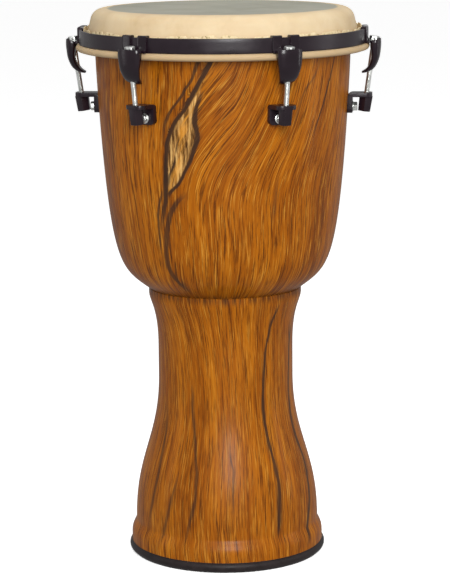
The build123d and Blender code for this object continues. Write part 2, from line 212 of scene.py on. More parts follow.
def moved_in(line, by):
    """The line moved sideways, to its left for a positive distance."""
    out = []
    for i in range(len(line)):
        a, b = line[max(i - 1, 0)], line[min(i + 1, len(line) - 1)]
        length = sqrt((b[0] - a[0]) ** 2 + (b[1] - a[1]) ** 2)
        out.append((line[i][0] - by * (b[1] - a[1]) / length, line[i][1] + by * (b[0] - a[0]) / length))
    return out


side = bowl_outside()
inside_wall = [p for p in moved_in(side, wall) if p[1] > seam + 0.012]
bowl_outline = (
    [(seam_radius - 0.0006, seam)]
    + [(seam_radius, seam + 0.0005)]
    + side[1:]
    + arc_of((rim - rim_rounding, rim_top - rim_rounding), rim_rounding, 0, 90, 10)
    + arc_of((bearing_inside + 0.002, rim_top - 0.002), 0.002, 90, 180, 4)
    + [(bearing_inside, bearing_low)]
    + inside_wall[::-1]
    + [(throat, seam), (throat, spigot_low), (spigot, spigot_low), (spigot, seam)]
)
bowl = turned("bowl", bowl_outline, around=320)

stem_side = (
    [(foot, tread)]
    + upright_flare((foot, bead_top), (ankle, ankle_height), 0.0105, 0.005, 10)
    + upright_flare((ankle, ankle_height), (neck, neck_low), 0.076, 0.076, 48)[1:]
    + upright_flare((neck, neck_high), (seam_radius, collar_height), 0.045, 0.011, 24)
)
stem_inside = (
    [(foot - wall, tread)]
    + upright_flare((foot - wall, bead_top), (ankle - wall, ankle_height), 0.0105, 0.005, 8)
    + upright_flare((ankle - wall, ankle_height), (neck - wall, neck_low), 0.076, 0.076, 30)[1:]
    + [(neck - wall, neck_high), (throat, spigot_low - 0.0001)]
)
stem_outline = (
    stem_side
    + [(seam_radius, seam - 0.0009), (seam_radius - 0.0008, seam - 0.0001)]
    + [(spigot + 0.0001, seam - 0.0001), (spigot + 0.0001, spigot_low - 0.0001)]
    + stem_inside[::-1]
)
stem = turned("stem", stem_outline, around=320)

# The print's grain runs down the left of the bowl, parts round a pale knot, and sweeps down
# across the front from the right. Angles are degrees from the front, heights in millimetres.
knot_left = ((602, -2), (583, -6), (565, -10), (538, -16), (518, -22), (496, -26), (470, -27), (426, -28))
knot_right = ((560, -9), (548, -10), (537, -12), (521, -13), (505, -12), (486, -14), (468, -17), (452, -21),
              (436, -27), (428, -28))


def between(points, x):
    pts = sorted(points)
    if x <= pts[0][0]:
        return pts[0][1]
    for (x0, y0), (x1, y1) in zip(pts, pts[1:]):
        if x <= x1:
            return y0 + (y1 - y0) * (x - x0) / (x1 - x0)
    return pts[-1][1]


def eased(x, low, high):
    t = min(max((x - low) / (high - low), 0.0), 1.0)
    return t * t * (3 - 2 * t)


# How strongly the grain sweeps at each angle, and how far it has climbed at each millimetre.
swept_from = 0.40
sweep = (
    (-180, 0), (-100, -0.5), (-30, 2.4), (5, 4.3), (35, 3.2),
    (70, 1.5), (105, 0.2), (140, -0.6), (180, 0),
)
climb = [0.0]
for step in range(1, 241):
    height = swept_from + step * 0.001
    climb.append(climb[-1] + 0.001 * eased(height, 0.405, 0.49) * (1 - 0.35 * eased(height, 0.55, 0.63)))


def lay_grain(piece):
    """Stores where each point lies in the print: round the drum across the grain, and along it."""
    mesh = piece.data
    flow = mesh.attributes.new("grain", "FLOAT_VECTOR", "POINT")
    values = []
    for v in mesh.vertices:
        x, y, z = v.co
        turn = atan2(x, -y)
        shift = 0.035 * sin(9 * z + 2 * turn) + 0.02 * sin(31 * z + turn)
        if z > swept_from:
            degrees_round = turn * 180 / pi
            edge = between(knot_left, z * 1000)
            right = eased(degrees_round, edge - 1.0, edge + 1.0) if degrees_round < 90 else 1.0
            steps_up = (z - swept_from) * 1000
            spot = min(int(steps_up), 238)
            risen = climb[spot] + (climb[spot + 1] - climb[spot]) * (steps_up - spot)
            shift -= right * between(sweep, degrees_round) * risen
        if z < seam:
            shift += 1.1 * eased(z, 0.20, seam) * (z - 0.20)
        turn += shift
        values += [0.12 * sin(turn), -0.12 * cos(turn), z]
    flow.data.foreach_set("vector", values)


lay_grain(bowl)
lay_grain(stem)


class Recipe:
    """A material's nodes, added one after another."""

    def __init__(self, name):
        self.material = bpy.data.materials.new(name)
        self.material.use_nodes = True
        self.tree = self.material.node_tree
        self.shader = self.tree.nodes["Principled BSDF"]

    def add(self, kind, **settings):
        node = self.tree.nodes.new(kind)
        for key, value in settings.items():
            setattr(node, key, value)
        return node

    def join(self, value, socket):
        if isinstance(value, bpy.types.NodeSocket):
            self.tree.links.new(value, socket)
        else:
            socket.default_value = value

    def sum(self, operation, *values, clamp=False):
        node = self.add("ShaderNodeMath", operation=operation, use_clamp=clamp)
        for value, socket in zip(values, node.inputs):
            self.join(value, socket)
        return node.outputs[0]

    def scaled(self, vector, scale, turn=(0, 0, 0)):
        node = self.add("ShaderNodeMapping")
        self.join(vector, node.inputs["Vector"])
        node.inputs["Scale"].default_value = scale
        node.inputs["Rotation"].default_value = turn
        return node.outputs[0]

    def noise(self, vector, scale, detail=3.0, rough=0.55, warp=0.0):
        node = self.add("ShaderNodeTexNoise")
        self.join(vector, node.inputs["Vector"])
        node.inputs["Scale"].default_value = scale
        node.inputs["Detail"].default_value = detail
        node.inputs["Roughness"].default_value = rough
        node.inputs["Distortion"].default_value = warp
        return node.outputs[0]

    def spread(self, value, low, high, out_low=0.0, out_high=1.0):
        node = self.add("ShaderNodeMapRange", interpolation_type="SMOOTHSTEP")
        for v, i in zip((value, low, high, out_low, out_high), range(5)):
            self.join(v, node.inputs[i])
        return node.outputs[0]

    def tone(self, value, *stops):
        node = self.add("ShaderNodeValToRGB")
        self.join(value, node.inputs[0])
        marks = node.color_ramp.elements
        while len(marks) < len(stops):
            marks.new(0.5)
        for mark, (place, colour) in zip(marks, stops):
            mark.position = place
            mark.color = (*colour, 1)
        return node.outputs[0]

    def mixed(self, share, first, second, way="MIX"):
        node = self.add("ShaderNodeMix", data_type="RGBA", blend_type=way)
        self.join(share, node.inputs["Factor"])
        for value, socket in ((first, node.inputs[6]), (second, node.inputs[7])):
            self.join((*value, 1) if isinstance(value, tuple) else value, socket)
        return node.outputs[2]

    def bump(self, height, strength, depth, base=None):
        node = self.add("ShaderNodeBump")
        node.inputs["Strength"].default_value = strength
        node.inputs["Distance"].default_value = depth
        self.join(height, node.inputs["Height"])
        if base is not None:
            self.join(base, node.inputs["Normal"])
        return node.outputs[0]

    def set(self, **values):
        for key, value in values.items():
            self.join(value, self.shader.inputs[key.replace("_", " ")])


wood = Recipe("printed_grain")
place = wood.add("ShaderNodeTexCoord").outputs["Object"]
parts_of_place = wood.add("ShaderNodeSeparateXYZ")
wood.join(place, parts_of_place.inputs[0])
px, py, height = parts_of_place.outputs
turn = wood.sum("ARCTAN2", px, wood.sum("MULTIPLY", py, -1.0))
along = wood.add("ShaderNodeAttribute", attribute_name="grain", attribute_type="GEOMETRY").outputs["Vector"]

broad = wood.noise(wood.scaled(along, (34, 34, 3.4)), 1.0, 3.0, 0.6, 0.4)
bands = wood.noise(wood.scaled(along, (260, 260, 9)), 1.0, 4.0, 0.65, 0.3)
streaks = wood.noise(wood.scaled(along, (680, 680, 24)), 1.0, 3.0, 0.62, 0.2)
flecks = wood.noise(wood.scaled(along, (1050, 1050, 44)), 1.0, 2.0, 0.6)
pale_flecks = wood.noise(wood.scaled(along, (900, 900, 28), (0, 0, 1.3)), 1.0, 2.0, 0.55)

ground = wood.tone(
    wood.sum("ADD", wood.sum("MULTIPLY", broad, 0.55), wood.sum("MULTIPLY", bands, 0.45)),
    (0.36, (0.180, 0.044, 0.0012)),
    (0.46, (0.290, 0.077, 0.0018)),
    (0.55, (0.385, 0.113, 0.0026)),
    (0.66, (0.470, 0.158, 0.0060)),
)
dark_streak = wood.spread(streaks, 0.50, 0.65, 0.0, 0.88)
colour = wood.mixed(dark_streak, ground, (0.090, 0.021, 0.0015))
pale_streak = wood.spread(pale_flecks, 0.56, 0.68, 0.0, 0.75)
colour = wood.mixed(pale_streak, colour, (0.58, 0.25, 0.028))
dark_fleck = wood.spread(flecks, 0.57, 0.69, 0.0, 0.7)
colour = wood.mixed(dark_fleck, colour, (0.050, 0.014, 0.002))

# Dark figure lines. Each has its points, height above the floor in mm and degrees round from the
# front, then its half width in mm, how black it is, how smoky its sides are, and how many metres
# it takes to fade out at its ends.
wander = wood.noise(wood.scaled(place, (60, 60, 34)), 1.0, 2.0)
strayed = wood.sum("ADD", turn, wood.sum("MULTIPLY", wood.sum("SUBTRACT", wander, 0.5), 0.035))
ragged = wood.noise(wood.scaled(along, (260, 260, 18)), 1.0, 3.0, 0.65)


def line_angle(points):
    """Angle of a line at each height, in radians, and the heights of its two ends in metres."""
    pts = sorted(points)
    low, high = pts[0][0], pts[-1][0]
    share = wood.add("ShaderNodeMapRange", clamp=True)
    wood.join(height, share.inputs[0])
    share.inputs[1].default_value = low / 1000
    share.inputs[2].default_value = high / 1000
    curve = wood.add("ShaderNodeFloatCurve")
    marks = curve.mapping.curves[0].points
    while len(marks) < len(pts):
        marks.new(0.5, 0.5)
    for mark, (z, a) in zip(marks, pts):
        mark.location = ((z - low) / (high - low), (a + 90) / 180)
    curve.mapping.update()
    wood.join(share.outputs[0], curve.inputs["Value"])
    return wood.sum("MULTIPLY", wood.sum("SUBTRACT", curve.outputs[0], 0.5), pi), low / 1000, high / 1000


def figure_line(points, half_width, black, smoke=0.3, fade=0.02):
    angle, low, high = line_angle(points)
    away = wood.sum("ABSOLUTE", wood.sum("SUBTRACT", strayed, angle))
    across = wood.sum("MULTIPLY", away, 0.125)
    unevenness = wood.sum("ADD", 0.35, wood.sum("MULTIPLY", ragged, 1.9))
    width = wood.sum("MULTIPLY", unevenness, half_width / 1000)
    solid_to, gone_by = wood.sum("MULTIPLY", width, 0.55), wood.sum("MULTIPLY", width, 1.35)
    core = wood.spread(across, solid_to, gone_by, black, 0.0)
    haze = wood.spread(across, 0.0, half_width * 4.5 / 1000, smoke, 0.0)
    haze = wood.sum("MULTIPLY", haze, wood.spread(ragged, 0.38, 0.62))
    ends = wood.sum(
        "MULTIPLY",
        wood.spread(height, low, low + fade),
        wood.spread(height, high - fade, high, 1.0, 0.0),
    )
    return wood.sum("MULTIPLY", wood.sum("MAXIMUM", core, haze), ends)


lines = (
    # The knot's two sides and the dark wood that runs into and out of it.
    (((640, 4), (602, -2), (583, -6), (565, -10), (538, -16), (518, -22), (496, -26), (470, -27),
      (440, -28), (418, -30), (398, -32), (372, -33.5)), 2.2, 0.92, 0.6, 0.06),
    (((560, -9), (548, -10), (537, -12), (521, -13), (505, -12), (486, -14), (468, -17), (452, -21),
      (436, -27), (424, -28)), 1.9, 0.92, 0.45, 0.02),
    (((640, -4), (602, -7), (583, -11), (565, -14), (546, -19), (526, -25), (505, -28), (480, -30)),
     1.3, 0.8, 0.3, 0.05),
    (((508, -19), (495, -21), (480, -22.5)), 0.8, 0.75, 0.2, 0.01),
    (((486, -22), (474, -23), (459, -25.5), (440, -26.5)), 1.0, 0.8, 0.3, 0.012),
    (((450, -28), (438, -30.5), (421, -33), (401, -33.5), (377, -34), (362, -34)), 1.2, 0.8, 0.35, 0.02),
    (((446, -17), (437, -20), (422, -25), (402, -28), (383, -30), (361, -31), (342, -29), (326, -24),
      (316, -20)), 3.0, 0.78, 0.75, 0.02),
    # The bowl's right and left sides.
    (((600, 49), (571, 45), (548, 38), (519, 34), (490, 31)), 1.2, 0.5, 0.35, 0.04),
    (((610, 62), (575, 57), (556, 54), (531, 50), (507, 46), (480, 44)), 0.8, 0.85, 0.25, 0.04),
    (((515, 32), (497, 30), (480, 29)), 1.6, 0.45, 0.3, 0.02),
    (((465, 26), (445, 25), (416, 24), (395, 23)), 1.4, 0.42, 0.3, 0.03),
    (((600, -38), (575, -36), (561, -36), (535, -36)), 2.2, 0.3, 0.4, 0.03),
    (((560, -66), (500, -64), (430, -63)), 1.6, 0.3, 0.3, 0.05),
    # The stem.
    (((308, 47), (289, 42), (264, 38), (238, 35), (208, 33), (177, 32), (156, 33), (130, 35), (111, 36),
      (92, 36), (53, 34), (30, 33)), 2.3, 0.85, 0.7, 0.02),
    (((280, 73), (234, 69), (190, 67), (164, 66), (142, 67), (113, 70), (90, 68), (58, 64), (12, 56)),
     2.6, 0.85, 0.5, 0.02),
    (((225, -29), (212, -29), (182, -29), (158, -26), (133, -23), (108, -21), (79, -21), (54, -24),
      (20, -29)), 1.9, 0.66, 0.6, 0.04),
    (((195, -58), (177, -57), (152, -55), (119, -54), (87, -54), (51, -57), (25, -58)),
     2.3, 0.66, 0.6, 0.04),
    (((120, -34), (107, -35), (86, -37), (54, -41), (14, -47)), 1.8, 0.6, 0.6, 0.03),
    (((150, 2), (142, 2), (118, 4), (90, 4), (52, 4)), 1.2, 0.6, 0.35, 0.03),
)
black_share = None
for points, half_width, black, smoke, fade in lines:
    share = figure_line(points, half_width, black, smoke, fade)
    black_share = share if black_share is None else wood.sum("MAXIMUM", black_share, share)

left_edge, _, _ = line_angle(knot_left)
right_edge, knot_low, _ = line_angle(knot_right)
in_knot = wood.sum("MULTIPLY", wood.spread(wood.sum("SUBTRACT", strayed, left_edge), 0.0, 0.03),
                   wood.spread(wood.sum("SUBTRACT", right_edge, strayed), 0.0, 0.03))
in_knot = wood.sum("MULTIPLY", in_knot, wood.spread(height, knot_low, knot_low + 0.02))
in_knot = wood.sum("MULTIPLY", in_knot, wood.spread(height, 0.545, 0.60, 1.0, 0.0))
knot_grain = wood.noise(wood.scaled(place, (420, 420, 24), (0, 0.16, 0)), 1.0, 4.0, 0.65, 0.3)
knot_tone = wood.tone(
    knot_grain,
    (0.38, (0.040, 0.018, 0.006)),
    (0.46, (0.23, 0.115, 0.030)),
    (0.53, (0.45, 0.245, 0.075)),
    (0.62, (0.70, 0.42, 0.14)),
)
knot_middle = wood.sum("MULTIPLY", wood.sum("ADD", left_edge, right_edge), 0.5)
off_middle = wood.sum("ABSOLUTE", wood.sum("SUBTRACT", strayed, knot_middle))
knot_heart = wood.spread(off_middle, 0.004, 0.055, 0.75, 0.0)
heart_share = wood.sum("MULTIPLY", knot_heart, wood.spread(ragged, 0.4, 0.6))
knot_tone = wood.mixed(heart_share, knot_tone, (0.72, 0.30, 0.035))
colour = wood.mixed(wood.sum("MULTIPLY", in_knot, 0.9), colour, knot_tone)
colour = wood.mixed(black_share, colour, (0.030, 0.017, 0.011))
# Painted shade on the film over the bowl's foot and the joint below it: darker towards the joint, over the
# joint's own thin dark line, and broken up by the grain's bands.
near_joint = wood.sum("ABSOLUTE", wood.sum("SUBTRACT", height, 0.3125))
joint_line_and_shade = wood.sum("MULTIPLY", wood.spread(near_joint, 0.0, 0.011, 0.8, 0.0), wood.spread(bands, 0.40, 0.58))
colour = wood.mixed(joint_line_and_shade, colour, (0.045, 0.016, 0.005))

pores = wood.sum("ADD", wood.sum("MULTIPLY", streaks, 0.6), wood.sum("MULTIPLY", flecks, 0.4))
wood.set(
    Base_Color=colour,
    Roughness=wood.spread(bands, 0.3, 0.7, 0.36, 0.48),
    Normal=wood.bump(pores, 0.22, 0.0006),
)
wood.set(Specular_IOR_Level=0.10, Coat_Weight=0.06, Coat_Roughness=0.20)

fibre = Recipe("pressed_fibre")
fibre_place = fibre.add("ShaderNodeTexCoord").outputs["Object"]
fibre_noise = fibre.noise(fibre_place, 180, 6.0, 0.7)
fibre.set(
    Base_Color=fibre.tone(fibre_noise, (0.35, (0.045, 0.028, 0.016)), (0.65, (0.13, 0.085, 0.05))),
    Roughness=0.85,
    Normal=fibre.bump(fibre_noise, 0.5, 0.001),
)


def film_outside(piece, line):
    """Film on the outside faces and bare fibre on the rest."""
    piece.data.materials.append(wood.material)
    piece.data.materials.append(fibre.material)
    for face in piece.data.polygons:
        r = sqrt(face.center.x**2 + face.center.y**2)
        out = face.normal.x * face.center.x + face.normal.y * face.center.y
        face.material_index = 0 if r > line(face.center.z) and (out > -1e-6) else 1


def just_inside(line):
    """Gives the radius a few millimetres under an outline at any height."""
    heights = [(z, r) for r, z in line]
    return lambda z: between(heights, z) - 0.003


under_side = just_inside(side[::4])
film_outside(bowl, lambda z: under_side(z) if z < bowl_side_top else rim - rim_rounding)
film_outside(stem, just_inside(stem_side[::2]))
for piece, node in ((bowl, "bowl_shell"), (stem, "stem_shell")):
    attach(piece, "root")
    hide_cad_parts(node)

# ---------------------------------------------------------------------------
# Foot ring. A black rubber channel that the stem's lower edge is pressed into,
# with a bulged side and a flat tread that the drum stands on.
# ---------------------------------------------------------------------------
ring_outline = (
    [(0.0985, 0.0012), (0.0995, 0.0)]
    + [(0.1110, 0.0)]
    + arc_of((0.1092, 0.0062), 0.0058, -72, 68, 14)
    + [(0.1124, 0.01175), (foot + 0.0001, tread), (0.1046, tread)]
    + [(0.1046, 0.012), (0.0990, 0.012), (0.0985, 0.0112)]
)
foot_ring = turned("foot_ring", ring_outline, around=256, sharp=40)
rubber = Recipe("black_rubber")
rubber_place = rubber.add("ShaderNodeTexCoord").outputs["Object"]
rubber_grain = rubber.noise(rubber_place, 900, 3.0, 0.6)
rubber_wear = rubber.noise(rubber_place, 60, 4.0, 0.6)
rubber.set(
    Base_Color=rubber.tone(rubber_wear, (0.35, (0.012, 0.008, 0.008)), (0.7, (0.024, 0.017, 0.017))),
    Roughness=rubber.spread(rubber_wear, 0.3, 0.7, 0.40, 0.55),
    Specular_IOR_Level=0.22,
    Normal=rubber.bump(rubber_grain, 0.25, 0.0004),
)
foot_ring.data.materials.append(rubber.material)
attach(foot_ring, "root")
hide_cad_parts("base_ring")

# ---------------------------------------------------------------------------
# Drumhead. One goatskin, soaked and pulled down over the bowl's rounded edge.
# It is stretched flat on top and its collar goes down inside the hoops.
# ---------------------------------------------------------------------------
skin = 0.001
head_top = 0.635
rounding = 0.014
shoulder_height = head_top - rounding
lean_of_collar = radians(14)
collar, collar_low = 0.1573, 0.595
tangent_z = shoulder_height + rounding * sin(lean_of_collar)
tangent_r = collar - (tangent_z - collar_low) * tan(lean_of_collar)
shoulder = (tangent_r - rounding * cos(lean_of_collar), shoulder_height)
head_outside = (
    [(0.0, head_top)]
    + [(r / 1000, head_top) for r in (20, 45, 70, 95, 115, 127)]
    + arc_of(shoulder, rounding, 90, 14, 14)
    + [
        (tangent_r + (collar - tangent_r) * s / 6, tangent_z + (collar_low - tangent_z) * s / 6)
        for s in range(1, 7)
    ]
    + [(collar, 0.591), (collar, 0.587)]
)
head_inside = moved_in(head_outside[1:], -skin)
head_outline = head_outside + head_inside[::-1] + [(0.0, head_top - skin)]
head = turned("head_skin", head_outline, around=256, sharp=50, closed=False)
hide = Recipe("goatskin")
hide_place = hide.add("ShaderNodeTexCoord").outputs["Object"]
hide_parts = hide.add("ShaderNodeSeparateXYZ")
hide.join(hide_place, hide_parts.inputs[0])
hx, hy, hz = hide_parts.outputs
hr = hide.sum("SQRT", hide.sum("ADD", hide.sum("MULTIPLY", hx, hx), hide.sum("MULTIPLY", hy, hy)))
mottle = hide.noise(hide_place, 26, 5.0, 0.6, 0.4)
hair_pits = hide.noise(hide_place, 700, 3.0, 0.65)
clouds = hide.noise(hide_place, 9, 3.0, 0.5)
cream = hide.tone(
    mottle,
    (0.28, (0.575, 0.425, 0.245)),
    (0.50, (0.640, 0.495, 0.305)),
    (0.72, (0.685, 0.550, 0.355)),
)
grey = hide.tone(clouds, (0.3, (0.275, 0.270, 0.215)), (0.7, (0.345, 0.335, 0.270)))
rub = hide.sum("ADD", hr, hide.sum("MULTIPLY", hide.sum("SUBTRACT", mottle, 0.5), 0.006))
on_air = hide.sum("MULTIPLY", hide.spread(rub, 0.1285, 0.1330, 1.0, 0.0), hide.spread(hz, 0.630, 0.633))
skin_colour = hide.mixed(on_air, cream, grey)
low_stain = hide.sum("MULTIPLY", hide.spread(hz, 0.600, 0.618, 0.45, 0.0), hide.spread(mottle, 0.35, 0.65))
skin_colour = hide.mixed(low_stain, skin_colour, (0.46, 0.30, 0.14))
folded = hide.spread(hz, 0.5955, 0.5985, 0.55, 0.0)
skin_colour = hide.mixed(folded, skin_colour, (0.42, 0.285, 0.150))
hide.set(
    Base_Color=skin_colour,
    Roughness=hide.spread(mottle, 0.3, 0.7, 0.50, 0.66),
    Normal=hide.bump(hide.sum("ADD", hide.sum("MULTIPLY", hair_pits, 0.7), mottle), 0.09, 0.0010),
    Specular_IOR_Level=0.2,
    Subsurface_Weight=0.12,
    Subsurface_Radius=(0.004, 0.0025, 0.0012),
)
head.data.materials.append(hide.material)
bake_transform(head)
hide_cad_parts("drumhead")

# ---------------------------------------------------------------------------
# Wrapped edge. The same skin is folded round a steel ring, which makes the
# roll under the hoop, and its end comes up inside the hoop, trimmed by hand.
# ---------------------------------------------------------------------------
roll_rounding = 0.0036
roll_outline = (
    arc_of((0.1639, 0.5914), roll_rounding, -90, 90, 10)
    + arc_of((0.1617, 0.5914), roll_rounding, 90, 180, 6)
    + arc_of((0.1617, 0.5906), roll_rounding, 180, 270, 6)
)
roll = turned("wrapped_edge", roll_outline, around=240, sharp=60)
for v in roll.data.vertices:
    r = sqrt(v.co.x**2 + v.co.y**2)
    t = atan2(v.co.y, v.co.x)
    puff = 0.00016 * sin(23 * t + 1.1) + 0.00012 * sin(41 * t + 2.0) + 0.00008 * sin(67 * t) - 0.00022
    if r > 0.1655:
        v.co.x *= 1 + puff / r
        v.co.y *= 1 + puff / r
roll.data.materials.append(hide.material)
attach(roll, "hoop")
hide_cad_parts("skin_wrap")

tail_steps = 420
bm = bmesh.new()
rows = []
for k in range(tail_steps):
    t = 2 * pi * k / tail_steps
    ragged_top = 0.6134 + 0.0009 * sin(7 * t + 0.6) + 0.0006 * sin(19 * t)
    ragged_top += 0.0005 * sin(43 * t + 1) * sin(5 * t)
    ragged_top -= 0.0024 * (sin(29 * t + 2 + 2 * sin(3 * t)) > 0.80)
    spots = ((0.1592, 0.594), (0.1575, 0.604), (0.1573, 0.609), (0.1574, ragged_top), (0.1581, ragged_top),
             (0.1582, 0.609), (0.1583, 0.604), (0.1599, 0.594))
    rows.append([bm.verts.new((r * cos(t), r * sin(t), z)) for r, z in spots])
for k in range(tail_steps):
    bridge(bm, rows[k], rows[(k + 1) % tail_steps])
bmesh.ops.recalc_face_normals(bm, faces=bm.faces)
tail_mesh = finished_mesh(bm, "trimmed_tail")
smooth_shaded(tail_mesh, 50)
tail = linked(tail_mesh, "trimmed_tail")
cut_edge = Recipe("trimmed_goatskin")
cut_place = cut_edge.add("ShaderNodeTexCoord").outputs["Object"]
cut_fray = cut_edge.noise(cut_place, 240, 4.0, 0.7)
cut_pale = cut_edge.tone(
    cut_fray,
    (0.34, (0.30, 0.20, 0.09)),
    (0.46, (0.72, 0.56, 0.31)),
    (0.7, (0.88, 0.76, 0.50)),
)
cut_edge.set(Base_Color=cut_pale, Roughness=0.7, Normal=cut_edge.bump(cut_fray, 0.4, 0.0008))
tail.data.materials.append(cut_edge.material)
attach(tail, "hoop")

# ---------------------------------------------------------------------------
# Counter hoop. A flat steel band rolled and welded to a ring, sprayed satin
# black, which presses on the wrapped edge all round.
# ---------------------------------------------------------------------------
hoop_inner, hoop_outer = 0.1605, 0.1635
edge_rounding = 0.0007
inner_edge, outer_edge = hoop_inner + edge_rounding, hoop_outer - edge_rounding
low_edge, high_edge = 0.5957, 0.6109
hoop_outline = (
    arc_of((outer_edge, low_edge), edge_rounding, -90, 0, 4)
    + [(hoop_outer, 0.600), (hoop_outer, 0.607)]
    + arc_of((outer_edge, high_edge), edge_rounding, 0, 90, 4)
    + arc_of((inner_edge, high_edge), edge_rounding, 90, 180, 4)
    + [(hoop_inner, 0.607), (hoop_inner, 0.600)]
    + arc_of((inner_edge, low_edge), edge_rounding, 180, 270, 4)
)
hoop = turned("tension_hoop", hoop_outline, around=256, sharp=60)


def black_finish(name, base, rough, grain_scale, grain_depth, edge_highlight=0.35):
    coat = Recipe(name)
    spot = coat.add("ShaderNodeTexCoord").outputs["Object"]
    peel = coat.noise(spot, grain_scale, 2.0, 0.5)
    cloud = coat.noise(spot, 45, 4.0, 0.6)
    # Convex edges are painted lighter in the same hue, a painted highlight along the edges.
    convex_edges = coat.add("ShaderNodeNewGeometry").outputs["Pointiness"]
    edge = coat.spread(convex_edges, 0.53, 0.60, 0.0, edge_highlight)
    dull = tuple(c * 0.75 for c in base)
    tint = coat.mixed(coat.spread(cloud, 0.3, 0.7), dull, base)
    coat.set(
        Base_Color=coat.mixed(edge, tint, tuple(c * 3.2 for c in base)),
        Roughness=coat.spread(cloud, 0.3, 0.7, rough - 0.05, rough + 0.07),
        Normal=coat.bump(peel, 0.18, grain_depth),
        Specular_IOR_Level=0.40,
    )
    return coat


black_steel = black_finish("sprayed_steel", (0.0125, 0.0055, 0.0100), 0.31, 900, 0.0003)
hoop.data.materials.append(black_steel.material)
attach(hoop, "hoop")
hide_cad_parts("counter_hoop")

# ---------------------------------------------------------------------------
# Claws. Cast steel, sprayed black: two prongs hook over the hoop and a hollow
# horn-shaped shield curves in below the bolt's seat.
# ---------------------------------------------------------------------------
lug_angles = [radians(-65.6 + 60 * number) for number in range(6)]
seat_r, seat_z, lean = 0.172205, 0.5964, radians(8)
horn_half_width = 0.0145
# Rows down the horn: outside and inside points, out from and down from the seat in mm, and the width's share.
horn = (
    (8.1, -1.14, -4.3, 0.60, 1.00),
    (8.3, 1.5, -4.3, 1.6, 1.01),
    (7.9, 8.4, -4.2, 6.9, 0.98),
    (6.1, 19.4, -2.9, 16.9, 0.88),
    (1.3, 29.4, -4.9, 24.9, 0.73),
    (-5.7, 34.6, -8.4, 30.4, 0.59),
    (-12.6, 36.2, -13.2, 33.8, 0.41),
)


def smooth_row(rows, t):
    """A row of sizes at place t, from 0 to 1, on a smooth path through the given rows."""
    last = len(rows) - 1
    s = min(t * last, last - 1e-9)
    i = int(s)
    u = s - i
    a, b, c, d = (rows[max(0, min(last, i + n))] for n in (-1, 0, 1, 2))
    return [
        0.5 * (2 * q + (r - p) * u + (2 * p - 5 * q + 4 * r - w) * u * u + (3 * q - p - 3 * r + w) * u**3)
        for p, q, r, w in zip(a, b, c, d)
    ]


def horn_ring(t, shrink=0.0, push=0.0, rise=0.0):
    """Points round the horn's section at t: rounded outside, nearly flat inside. rise lifts the outside."""
    out_r, out_z, in_r, in_z, share = smooth_row(horn, t)
    ox, oz = seat_r + out_r / 1000, seat_z - out_z / 1000
    ix, iz = seat_r + in_r / 1000, seat_z - in_z / 1000
    half = share * horn_half_width * (1 - shrink)
    mx, mz = (ox + ix) / 2, (oz + iz) / 2
    dx, dz = (ox - ix) / 2 * (1 - shrink), (oz - iz) / 2 * (1 - shrink)
    size = sqrt(dx * dx + dz * dz) or 1e-6
    ux, uz = dx / size, dz / size
    points = []
    for k in range(40):
        a = 2 * pi * k / 40
        c, s = cos(a), sin(a)
        power = 1.0 if c > 0 else 0.32
        along = (abs(c) ** power) * (1 if c > 0 else -1) * size
        wide = (abs(s) ** 0.9) * (1 if s > 0 else -1) * half
        lift = rise * eased(c, -0.75, -0.1)
        points.append((mx + ux * along + uz * push, wide, mz + uz * along - ux * push + lift))
    return points


def add_loft(bm, rings):
    loops = [[bm.verts.new(p) for p in ring] for ring in rings]
    for low, high in zip(loops, loops[1:]):
        bridge(bm, low, high)
    bm.faces.new(loops[0][::-1])
    bm.faces.new(loops[-1])


def along_prong(angle, points, bm):
    return [bm.verts.new((r * cos(angle), r * sin(angle), z)) for r, z in points]


def claw_mesh(name):
    bm = bmesh.new()
    # The horn, from the seat down to its tip, ends rounded.
    rings = [horn_ring(0, 0.20), horn_ring(0, 0.155, 0, 0.0003), horn_ring(0, 0.135, 0, 0.0016)]
    rings += [horn_ring(0, 0.09, 0, 0.0022), horn_ring(0, 0.03, 0, 0.0021), horn_ring(0, 0.0, 0, 0.0014)]
    rings += [horn_ring(t / 30) for t in range(1, 31)]
    rings += [horn_ring(1.0, 0.18, 0.0005), horn_ring(1.0, 0.5, 0.0009)]
    add_loft(bm, rings)
    # Two prongs up the hoop's face, over its top edge and down inside.
    inner, outer = 0.1604, 0.1636
    top = 0.6117
    t = 0.0022
    hook = (
        [(inner - t, top - 0.0053), (inner - t * 0.7, top - 0.0056), (inner, top - 0.0054), (inner, top)]
        + [(outer, top), (outer, 0.5954)]
        + [(outer + 0.0052, 0.5954), (outer + 0.0052, 0.5975)]
        + arc_of((outer + t + 0.003, 0.6008), 0.003, 270, 180, 5)
        + arc_of((outer + t - 0.0020, top + t - 0.0020), 0.0020, 0, 90, 5)
        + arc_of((inner - t + 0.0020, top + t - 0.0020), 0.0020, 90, 180, 5)
    )
    for side_sign in (1, -1):
        rows = []
        for k in range(7):
            share = k / 6
            angle = side_sign * (0.005 + 0.011 * share) / outer
            rows.append(along_prong(angle, hook, bm))
        for a, b in zip(rows, rows[1:]):
            bridge(bm, a, b)
        bm.faces.new(rows[0])
        bm.faces.new(rows[-1][::-1])
    bmesh.ops.recalc_face_normals(bm, faces=bm.faces)
    return finished_mesh(bm, name)


def placed(mesh, name, angle):
    mesh.transform(Matrix.Rotation(angle, 4, "Z"))
    return linked(mesh, name)


def softened(piece, width, segments=3, angle=35):
    """Rounds the piece's sharp edges as casting, bending or tumbling leaves them."""
    bevel = piece.modifiers.new("rounding", "BEVEL")
    bevel.width = width
    bevel.segments = segments
    bevel.limit_method = "ANGLE"
    bevel.angle_limit = radians(angle)
    bevel.harden_normals = False
    view_layer = bpy.context.evaluated_depsgraph_get()
    mesh = bpy.data.meshes.new_from_object(piece.evaluated_get(view_layer))
    piece.modifiers.remove(bevel)
    old = piece.data
    piece.data = mesh
    bpy.data.meshes.remove(old)
    smooth_shaded(mesh, 45)
    return piece


